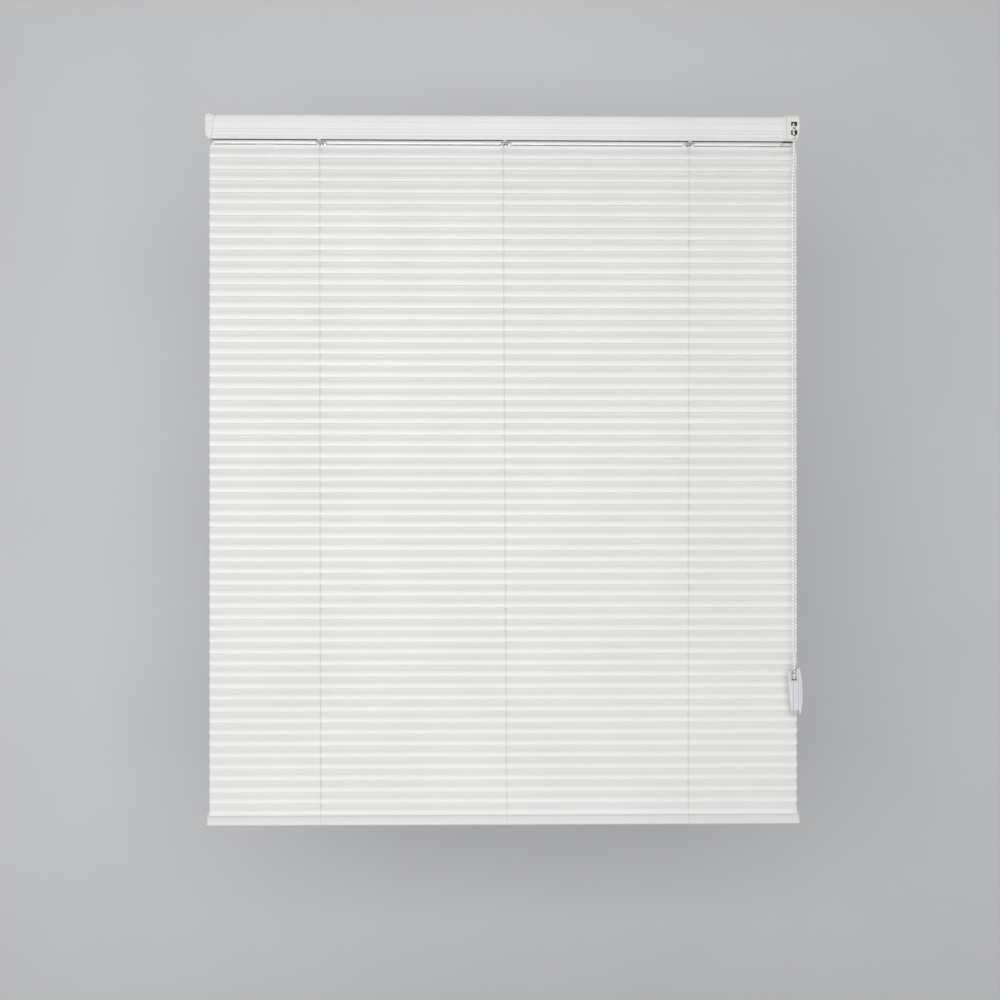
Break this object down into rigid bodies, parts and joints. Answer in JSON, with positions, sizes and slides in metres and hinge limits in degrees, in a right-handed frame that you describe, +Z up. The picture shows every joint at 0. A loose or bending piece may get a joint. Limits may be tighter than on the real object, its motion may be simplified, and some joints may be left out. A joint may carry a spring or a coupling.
{
  "type": "mini blind",
  "caption": "Mini blind with S-shaped slats on cord ladders, a reeded headrail, a bead chain control with its tensioner, and a bottom rail.",
  "frame": {"origin": "on the flat top of the headrail at mid length, in the plane the slats hang in", "axes": "+X along the rail towards the control unit, +Y towards the wall or window, so the front faces -Y, +Z up"},
  "size_m": [1.0818, 0.0678, 1.2954],
  "materials": {
    "slat_enamel": "warm white baked enamel, satin",
    "rail_enamel": "cool white powder coat, satin",
    "plastic": "moulded, warm white, satin",
    "bead": "moulded beads on a cord, white",
    "cord": "braided polyester, white",
    "steel": "zinc plated",
    "acetal": "moulded acetal, off white"
  },
  "bodies": {
    "rail": {"headrail": "rail_enamel", "end_cap_left": "plastic", "control_housing": "plastic", "control_cover": "plastic", "bracket_left": "steel", "bracket_right": "steel", "cradle_left": "acetal", "cradle_centre": "acetal", "cradle_right": "acetal", "tensioner_base": "plastic", "tensioner_cover": "plastic", "bead_chain": "bead", "ladder_left": "cord", "ladder_centre": "cord", "ladder_right": "cord", "lift_cord_left": "cord", "lift_cord_centre": "cord", "lift_cord_right": "cord"},
    "tilt_shaft": {"tilt_shaft": "steel", "drum_left": "acetal", "drum_centre": "acetal", "drum_right": "acetal", "shaft_gear": "acetal"},
    "wheel": {"chain_wheel": "acetal"},
    "pulley": {"tensioner_pulley": "acetal"},
    "bottom": {"bottom_rail": "rail_enamel", "bottom_cap_left": "plastic", "bottom_cap_right": "plastic", "ladder_plug_left": "plastic", "ladder_plug_centre": "plastic", "ladder_plug_right": "plastic"},
    "pair_01": {"slat_pair_01": "slat_enamel"},
    "pair_02": {"slat_pair_02": "slat_enamel"},
    "pair_03": {"slat_pair_03": "slat_enamel"},
    "pair_04": {"slat_pair_04": "slat_enamel"},
    "pair_05": {"slat_pair_05": "slat_enamel"},
    "pair_06": {"slat_pair_06": "slat_enamel"},
    "pair_07": {"slat_pair_07": "slat_enamel"},
    "pair_08": {"slat_pair_08": "slat_enamel"},
    "pair_09": {"slat_pair_09": "slat_enamel"},
    "pair_10": {"slat_pair_10": "slat_enamel"},
    "pair_11": {"slat_pair_11": "slat_enamel"},
    "pair_12": {"slat_pair_12": "slat_enamel"},
    "pair_13": {"slat_pair_13": "slat_enamel"},
    "pair_14": {"slat_pair_14": "slat_enamel"},
    "pair_15": {"slat_pair_15": "slat_enamel"},
    "pair_16": {"slat_pair_16": "slat_enamel"},
    "pair_17": {"slat_pair_17": "slat_enamel"},
    "pair_18": {"slat_pair_18": "slat_enamel"},
    "pair_19": {"slat_pair_19": "slat_enamel"},
    "pair_20": {"slat_pair_20": "slat_enamel"},
    "pair_21": {"slat_pair_21": "slat_enamel"},
    "pair_22": {"slat_pair_22": "slat_enamel"},
    "pair_23": {"slat_pair_23": "slat_enamel"},
    "pair_24": {"slat_pair_24": "slat_enamel"},
    "pair_25": {"slat_pair_25": "slat_enamel"},
    "pair_26": {"slat_pair_26": "slat_enamel"},
    "pair_27": {"slat_pair_27": "slat_enamel"},
    "pair_28": {"slat_pair_28": "slat_enamel"},
    "pair_29": {"slat_pair_29": "slat_enamel"}
  },
  "joints": [
    {"name": "tilt", "type": "hinge", "parent": "rail", "child": "tilt_shaft", "pos_m": [0, 0, -0.026], "axis": [-1, 0, 0], "range_deg": [0, 75], "deforming": ["ladder_left", "ladder_centre", "ladder_right", "lift_cord_left", "lift_cord_centre", "lift_cord_right", "bead_chain"]},
    {"name": "wheel_turn", "type": "hinge", "parent": "rail", "child": "wheel", "pos_m": [0.52605, -0.025, -0.026], "axis": [-1, 0, 0], "range_deg": [-112.5, 0]},
    {"name": "pulley_turn", "type": "hinge", "parent": "rail", "child": "pulley", "pos_m": [0.52605, -0.03495, -1.015], "axis": [-1, 0, 0], "range_deg": [-165, 0]},
    {"name": "bottom_tilt", "type": "hinge", "parent": "rail", "child": "bottom", "pos_m": [0.003, 0, -1.2781], "axis": [-1, 0, 0], "range_deg": [0, 60]},
    {"name": "pair_01_tilt", "type": "hinge", "parent": "rail", "child": "pair_01", "pos_m": [0.003, 0, -0.0724], "axis": [-1, 0, 0], "range_deg": [0, 75]},
    {"name": "pair_02_tilt", "type": "hinge", "parent": "rail", "child": "pair_02", "pos_m": [0.003, 0, -0.1144], "axis": [-1, 0, 0], "range_deg": [0, 75]},
    {"name": "pair_03_tilt", "type": "hinge", "parent": "rail", "child": "pair_03", "pos_m": [0.003, 0, -0.1564], "axis": [-1, 0, 0], "range_deg": [0, 75]},
    {"name": "pair_04_tilt", "type": "hinge", "parent": "rail", "child": "pair_04", "pos_m": [0.003, 0, -0.1984], "axis": [-1, 0, 0], "range_deg": [0, 75]},
    {"name": "pair_05_tilt", "type": "hinge", "parent": "rail", "child": "pair_05", "pos_m": [0.003, 0, -0.2404], "axis": [-1, 0, 0], "range_deg": [0, 75]},
    {"name": "pair_06_tilt", "type": "hinge", "parent": "rail", "child": "pair_06", "pos_m": [0.003, 0, -0.2824], "axis": [-1, 0, 0], "range_deg": [0, 75]},
    {"name": "pair_07_tilt", "type": "hinge", "parent": "rail", "child": "pair_07", "pos_m": [0.003, 0, -0.3244], "axis": [-1, 0, 0], "range_deg": [0, 75]},
    {"name": "pair_08_tilt", "type": "hinge", "parent": "rail", "child": "pair_08", "pos_m": [0.003, 0, -0.3664], "axis": [-1, 0, 0], "range_deg": [0, 75]},
    {"name": "pair_09_tilt", "type": "hinge", "parent": "rail", "child": "pair_09", "pos_m": [0.003, 0, -0.4084], "axis": [-1, 0, 0], "range_deg": [0, 75]},
    {"name": "pair_10_tilt", "type": "hinge", "parent": "rail", "child": "pair_10", "pos_m": [0.003, 0, -0.4504], "axis": [-1, 0, 0], "range_deg": [0, 75]},
    {"name": "pair_11_tilt", "type": "hinge", "parent": "rail", "child": "pair_11", "pos_m": [0.003, 0, -0.4924], "axis": [-1, 0, 0], "range_deg": [0, 75]},
    {"name": "pair_12_tilt", "type": "hinge", "parent": "rail", "child": "pair_12", "pos_m": [0.003, 0, -0.5344], "axis": [-1, 0, 0], "range_deg": [0, 75]},
    {"name": "pair_13_tilt", "type": "hinge", "parent": "rail", "child": "pair_13", "pos_m": [0.003, 0, -0.5764], "axis": [-1, 0, 0], "range_deg": [0, 75]},
    {"name": "pair_14_tilt", "type": "hinge", "parent": "rail", "child": "pair_14", "pos_m": [0.003, 0, -0.6184], "axis": [-1, 0, 0], "range_deg": [0, 75]},
    {"name": "pair_15_tilt", "type": "hinge", "parent": "rail", "child": "pair_15", "pos_m": [0.003, 0, -0.6604], "axis": [-1, 0, 0], "range_deg": [0, 75]},
    {"name": "pair_16_tilt", "type": "hinge", "parent": "rail", "child": "pair_16", "pos_m": [0.003, 0, -0.7024], "axis": [-1, 0, 0], "range_deg": [0, 75]},
    {"name": "pair_17_tilt", "type": "hinge", "parent": "rail", "child": "pair_17", "pos_m": [0.003, 0, -0.7444], "axis": [-1, 0, 0], "range_deg": [0, 75]},
    {"name": "pair_18_tilt", "type": "hinge", "parent": "rail", "child": "pair_18", "pos_m": [0.003, 0, -0.7864], "axis": [-1, 0, 0], "range_deg": [0, 75]},
    {"name": "pair_19_tilt", "type": "hinge", "parent": "rail", "child": "pair_19", "pos_m": [0.003, 0, -0.8284], "axis": [-1, 0, 0], "range_deg": [0, 75]},
    {"name": "pair_20_tilt", "type": "hinge", "parent": "rail", "child": "pair_20", "pos_m": [0.003, 0, -0.8704], "axis": [-1, 0, 0], "range_deg": [0, 75]},
    {"name": "pair_21_tilt", "type": "hinge", "parent": "rail", "child": "pair_21", "pos_m": [0.003, 0, -0.9124], "axis": [-1, 0, 0], "range_deg": [0, 75]},
    {"name": "pair_22_tilt", "type": "hinge", "parent": "rail", "child": "pair_22", "pos_m": [0.003, 0, -0.9544], "axis": [-1, 0, 0], "range_deg": [0, 75]},
    {"name": "pair_23_tilt", "type": "hinge", "parent": "rail", "child": "pair_23", "pos_m": [0.003, 0, -0.9964], "axis": [-1, 0, 0], "range_deg": [0, 75]},
    {"name": "pair_24_tilt", "type": "hinge", "parent": "rail", "child": "pair_24", "pos_m": [0.003, 0, -1.0384], "axis": [-1, 0, 0], "range_deg": [0, 75]},
    {"name": "pair_25_tilt", "type": "hinge", "parent": "rail", "child": "pair_25", "pos_m": [0.003, 0, -1.0804], "axis": [-1, 0, 0], "range_deg": [0, 75]},
    {"name": "pair_26_tilt", "type": "hinge", "parent": "rail", "child": "pair_26", "pos_m": [0.003, 0, -1.1224], "axis": [-1, 0, 0], "range_deg": [0, 75]},
    {"name": "pair_27_tilt", "type": "hinge", "parent": "rail", "child": "pair_27", "pos_m": [0.003, 0, -1.1644], "axis": [-1, 0, 0], "range_deg": [0, 75]},
    {"name": "pair_28_tilt", "type": "hinge", "parent": "rail", "child": "pair_28", "pos_m": [0.003, 0, -1.2064], "axis": [-1, 0, 0], "range_deg": [0, 75]},
    {"name": "pair_29_tilt", "type": "hinge", "parent": "rail", "child": "pair_29", "pos_m": [0.003, 0, -1.2484], "axis": [-1, 0, 0], "range_deg": [0, 75]}
  ],
  "couplings": [
    {"joint": "wheel_turn", "follows": "tilt", "ratio": -1.5},
    {"joint": "pulley_turn", "follows": "tilt", "ratio": -2.2},
    {"joint": "bottom_tilt", "follows": "tilt", "ratio": 0.8},
    {"joint": "pair_01_tilt", "follows": "tilt", "ratio": 1},
    {"joint": "pair_02_tilt", "follows": "tilt", "ratio": 1},
    {"joint": "pair_03_tilt", "follows": "tilt", "ratio": 1},
    {"joint": "pair_04_tilt", "follows": "tilt", "ratio": 1},
    {"joint": "pair_05_tilt", "follows": "tilt", "ratio": 1},
    {"joint": "pair_06_tilt", "follows": "tilt", "ratio": 1},
    {"joint": "pair_07_tilt", "follows": "tilt", "ratio": 1},
    {"joint": "pair_08_tilt", "follows": "tilt", "ratio": 1},
    {"joint": "pair_09_tilt", "follows": "tilt", "ratio": 1},
    {"joint": "pair_10_tilt", "follows": "tilt", "ratio": 1},
    {"joint": "pair_11_tilt", "follows": "tilt", "ratio": 1},
    {"joint": "pair_12_tilt", "follows": "tilt", "ratio": 1},
    {"joint": "pair_13_tilt", "follows": "tilt", "ratio": 1},
    {"joint": "pair_14_tilt", "follows": "tilt", "ratio": 1},
    {"joint": "pair_15_tilt", "follows": "tilt", "ratio": 1},
    {"joint": "pair_16_tilt", "follows": "tilt", "ratio": 1},
    {"joint": "pair_17_tilt", "follows": "tilt", "ratio": 1},
    {"joint": "pair_18_tilt", "follows": "tilt", "ratio": 1},
    {"joint": "pair_19_tilt", "follows": "tilt", "ratio": 1},
    {"joint": "pair_20_tilt", "follows": "tilt", "ratio": 1},
    {"joint": "pair_21_tilt", "follows": "tilt", "ratio": 1},
    {"joint": "pair_22_tilt", "follows": "tilt", "ratio": 1},
    {"joint": "pair_23_tilt", "follows": "tilt", "ratio": 1},
    {"joint": "pair_24_tilt", "follows": "tilt", "ratio": 1},
    {"joint": "pair_25_tilt", "follows": "tilt", "ratio": 1},
    {"joint": "pair_26_tilt", "follows": "tilt", "ratio": 1},
    {"joint": "pair_27_tilt", "follows": "tilt", "ratio": 1},
    {"joint": "pair_28_tilt", "follows": "tilt", "ratio": 1},
    {"joint": "pair_29_tilt", "follows": "tilt", "ratio": 1}
  ]
}
